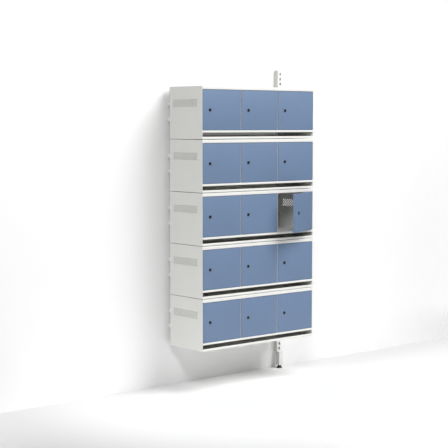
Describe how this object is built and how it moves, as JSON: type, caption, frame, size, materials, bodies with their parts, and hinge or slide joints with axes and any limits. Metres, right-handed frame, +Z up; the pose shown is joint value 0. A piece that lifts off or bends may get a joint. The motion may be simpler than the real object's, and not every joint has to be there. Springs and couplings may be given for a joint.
{
  "type": "phone charging locker bank",
  "caption": "Wall-hung bank of stacked steel locker modules with lockable hinged doors, charging outlets and open cable slots, on a slotted post with a levelling foot.",
  "frame": {"origin": "on the wall plane, at the back face of the slotted post, on its centre line and midway between its wall fixing holes", "axes": "+Z up along the post, +Y into the wall, so the doors face -Y, and +X to the right of someone facing the doors"},
  "size_m": [1.025, 0.5262, 2.1675],
  "materials": {
    "door_blue": "semi-gloss powder coat",
    "casing_white": "fine-textured powder coat",
    "post_white": "smooth powder coat",
    "lock_black": "black lacquered die casting",
    "zinc_steel": "bright zinc plate",
    "outlet_white": "moulded, satin",
    "grommet_black": "matt",
    "foot_black": "moulded, satin"
  },
  "bodies": {
    "cabinet": {"side_panels_r1": "casing_white", "side_panels_r2": "casing_white", "side_panels_r3": "casing_white", "side_panels_r4": "casing_white", "side_panels_r5": "casing_white", "top_panel_r1": "casing_white", "top_panel_r2": "casing_white", "top_panel_r3": "casing_white", "top_panel_r4": "casing_white", "top_panel_r5": "casing_white", "shelf_r1": "casing_white", "shelf_r2": "casing_white", "shelf_r3": "casing_white", "shelf_r4": "casing_white", "shelf_r5": "casing_white", "bottom_tray_r1": "casing_white", "bottom_tray_r2": "casing_white", "bottom_tray_r3": "casing_white", "bottom_tray_r4": "casing_white", "bottom_tray_r5": "casing_white", "dividers": "casing_white", "back_panels": "casing_white", "strike_plates": "zinc_steel", "hinge_pins": "zinc_steel", "charging_outlets": "outlet_white", "cable_grommets": "grommet_black", "wall_post": "post_white", "leg_extension": "post_white"},
    "door_r1c1": {"door_r1c1": "door_blue"},
    "door_r1c2": {"door_r1c2": "door_blue"},
    "door_r1c3": {"door_r1c3": "door_blue"},
    "door_r2c1": {"door_r2c1": "door_blue"},
    "door_r2c2": {"door_r2c2": "door_blue"},
    "door_r2c3": {"door_r2c3": "door_blue"},
    "door_r3c1": {"door_r3c1": "door_blue"},
    "door_r3c2": {"door_r3c2": "door_blue"},
    "door_r3c3": {"door_r3c3": "door_blue"},
    "door_r4c1": {"door_r4c1": "door_blue"},
    "door_r4c2": {"door_r4c2": "door_blue"},
    "door_r4c3": {"door_r4c3": "door_blue"},
    "door_r5c1": {"door_r5c1": "door_blue"},
    "door_r5c2": {"door_r5c2": "door_blue"},
    "door_r5c3": {"door_r5c3": "door_blue"},
    "lock_r1c1": {"lock_r1c1": "lock_black"},
    "lock_r1c2": {"lock_r1c2": "lock_black"},
    "lock_r1c3": {"lock_r1c3": "lock_black"},
    "lock_r2c1": {"lock_r2c1": "lock_black"},
    "lock_r2c2": {"lock_r2c2": "lock_black"},
    "lock_r2c3": {"lock_r2c3": "lock_black"},
    "lock_r3c1": {"lock_r3c1": "lock_black"},
    "lock_r3c2": {"lock_r3c2": "lock_black"},
    "lock_r3c3": {"lock_r3c3": "lock_black"},
    "lock_r4c1": {"lock_r4c1": "lock_black"},
    "lock_r4c2": {"lock_r4c2": "lock_black"},
    "lock_r4c3": {"lock_r4c3": "lock_black"},
    "lock_r5c1": {"lock_r5c1": "lock_black"},
    "lock_r5c2": {"lock_r5c2": "lock_black"},
    "lock_r5c3": {"lock_r5c3": "lock_black"},
    "foot_pad": {"foot_pad": "foot_black"},
    "foot_stem": {"foot_stem": "zinc_steel"}
  },
  "joints": [
    {"name": "door_r1c1_swing", "type": "hinge", "parent": "cabinet", "child": "door_r1c1", "pos_m": [-0.68217, -0.381, 0.5975], "axis": [0, 0, 1], "range_deg": [0, 90]},
    {"name": "door_r1c2_swing", "type": "hinge", "parent": "cabinet", "child": "door_r1c2", "pos_m": [-0.34933, -0.381, 0.5975], "axis": [0, 0, 1], "range_deg": [0, 90]},
    {"name": "door_r1c3_swing", "type": "hinge", "parent": "cabinet", "child": "door_r1c3", "pos_m": [-0.0165, -0.381, 0.5975], "axis": [0, 0, 1], "range_deg": [0, 90]},
    {"name": "door_r2c1_swing", "type": "hinge", "parent": "cabinet", "child": "door_r2c1", "pos_m": [-0.68217, -0.381, 0.2475], "axis": [0, 0, 1], "range_deg": [0, 90]},
    {"name": "door_r2c2_swing", "type": "hinge", "parent": "cabinet", "child": "door_r2c2", "pos_m": [-0.34933, -0.381, 0.2475], "axis": [0, 0, 1], "range_deg": [0, 90]},
    {"name": "door_r2c3_swing", "type": "hinge", "parent": "cabinet", "child": "door_r2c3", "pos_m": [-0.0165, -0.381, 0.2475], "axis": [0, 0, 1], "range_deg": [0, 90]},
    {"name": "door_r3c1_swing", "type": "hinge", "parent": "cabinet", "child": "door_r3c1", "pos_m": [-0.68217, -0.381, -0.1025], "axis": [0, 0, 1], "range_deg": [0, 90]},
    {"name": "door_r3c2_swing", "type": "hinge", "parent": "cabinet", "child": "door_r3c2", "pos_m": [-0.34933, -0.381, -0.1025], "axis": [0, 0, 1], "range_deg": [0, 90]},
    {"name": "door_r3c3_swing", "type": "hinge", "parent": "cabinet", "child": "door_r3c3", "pos_m": [-0.0165, -0.381, -0.1025], "axis": [0, 0, 1], "range_deg": [-25.5, 64.5]},
    {"name": "door_r4c1_swing", "type": "hinge", "parent": "cabinet", "child": "door_r4c1", "pos_m": [-0.68217, -0.381, -0.4525], "axis": [0, 0, 1], "range_deg": [0, 90]},
    {"name": "door_r4c2_swing", "type": "hinge", "parent": "cabinet", "child": "door_r4c2", "pos_m": [-0.34933, -0.381, -0.4525], "axis": [0, 0, 1], "range_deg": [0, 90]},
    {"name": "door_r4c3_swing", "type": "hinge", "parent": "cabinet", "child": "door_r4c3", "pos_m": [-0.0165, -0.381, -0.4525], "axis": [0, 0, 1], "range_deg": [0, 90]},
    {"name": "door_r5c1_swing", "type": "hinge", "parent": "cabinet", "child": "door_r5c1", "pos_m": [-0.68217, -0.381, -0.8025], "axis": [0, 0, 1], "range_deg": [0, 90]},
    {"name": "door_r5c2_swing", "type": "hinge", "parent": "cabinet", "child": "door_r5c2", "pos_m": [-0.34933, -0.381, -0.8025], "axis": [0, 0, 1], "range_deg": [0, 90]},
    {"name": "door_r5c3_swing", "type": "hinge", "parent": "cabinet", "child": "door_r5c3", "pos_m": [-0.0165, -0.381, -0.8025], "axis": [0, 0, 1], "range_deg": [0, 90]},
    {"name": "lock_r1c1_turn", "type": "hinge", "parent": "door_r1c1", "child": "lock_r1c1", "pos_m": [-0.9415, -0.39, 0.7315], "axis": [0, 1, 0], "range_deg": [0, 90]},
    {"name": "lock_r1c2_turn", "type": "hinge", "parent": "door_r1c2", "child": "lock_r1c2", "pos_m": [-0.60867, -0.39, 0.7315], "axis": [0, 1, 0], "range_deg": [0, 90]},
    {"name": "lock_r1c3_turn", "type": "hinge", "parent": "door_r1c3", "child": "lock_r1c3", "pos_m": [-0.27583, -0.39, 0.7315], "axis": [0, 1, 0], "range_deg": [0, 90]},
    {"name": "lock_r2c1_turn", "type": "hinge", "parent": "door_r2c1", "child": "lock_r2c1", "pos_m": [-0.9415, -0.39, 0.3815], "axis": [0, 1, 0], "range_deg": [0, 90]},
    {"name": "lock_r2c2_turn", "type": "hinge", "parent": "door_r2c2", "child": "lock_r2c2", "pos_m": [-0.60867, -0.39, 0.3815], "axis": [0, 1, 0], "range_deg": [0, 90]},
    {"name": "lock_r2c3_turn", "type": "hinge", "parent": "door_r2c3", "child": "lock_r2c3", "pos_m": [-0.27583, -0.39, 0.3815], "axis": [0, 1, 0], "range_deg": [0, 90]},
    {"name": "lock_r3c1_turn", "type": "hinge", "parent": "door_r3c1", "child": "lock_r3c1", "pos_m": [-0.9415, -0.39, 0.0315], "axis": [0, 1, 0], "range_deg": [0, 90]},
    {"name": "lock_r3c2_turn", "type": "hinge", "parent": "door_r3c2", "child": "lock_r3c2", "pos_m": [-0.60867, -0.39, 0.0315], "axis": [0, 1, 0], "range_deg": [0, 90]},
    {"name": "lock_r3c3_turn", "type": "hinge", "parent": "door_r3c3", "child": "lock_r3c3", "pos_m": [-0.2467, -0.50077, 0.0315], "axis": [-0.4305, 0.9026, 0], "range_deg": [0, 90]},
    {"name": "lock_r4c1_turn", "type": "hinge", "parent": "door_r4c1", "child": "lock_r4c1", "pos_m": [-0.9415, -0.39, -0.3185], "axis": [0, 1, 0], "range_deg": [0, 90]},
    {"name": "lock_r4c2_turn", "type": "hinge", "parent": "door_r4c2", "child": "lock_r4c2", "pos_m": [-0.60867, -0.39, -0.3185], "axis": [0, 1, 0], "range_deg": [0, 90]},
    {"name": "lock_r4c3_turn", "type": "hinge", "parent": "door_r4c3", "child": "lock_r4c3", "pos_m": [-0.27583, -0.39, -0.3185], "axis": [0, 1, 0], "range_deg": [0, 90]},
    {"name": "lock_r5c1_turn", "type": "hinge", "parent": "door_r5c1", "child": "lock_r5c1", "pos_m": [-0.9415, -0.39, -0.6685], "axis": [0, 1, 0], "range_deg": [0, 90]},
    {"name": "lock_r5c2_turn", "type": "hinge", "parent": "door_r5c2", "child": "lock_r5c2", "pos_m": [-0.60867, -0.39, -0.6685], "axis": [0, 1, 0], "range_deg": [0, 90]},
    {"name": "lock_r5c3_turn", "type": "hinge", "parent": "door_r5c3", "child": "lock_r5c3", "pos_m": [-0.27583, -0.39, -0.6685], "axis": [0, 1, 0], "range_deg": [0, 90]},
    {"name": "foot_height", "type": "slide", "parent": "cabinet", "child": "foot_pad", "axis": [0, 0, -1], "range_m": [-0.002, 0.025]},
    {"name": "foot_turn", "type": "hinge", "parent": "foot_pad", "child": "foot_stem", "pos_m": [0, -0.042, -1.1425], "axis": [0, 0, -1], "range_deg": [-481, 6001]}
  ],
  "couplings": [
    {"joint": "foot_turn", "follows": "foot_height", "rad_per_m": 4188.8}
  ]
}
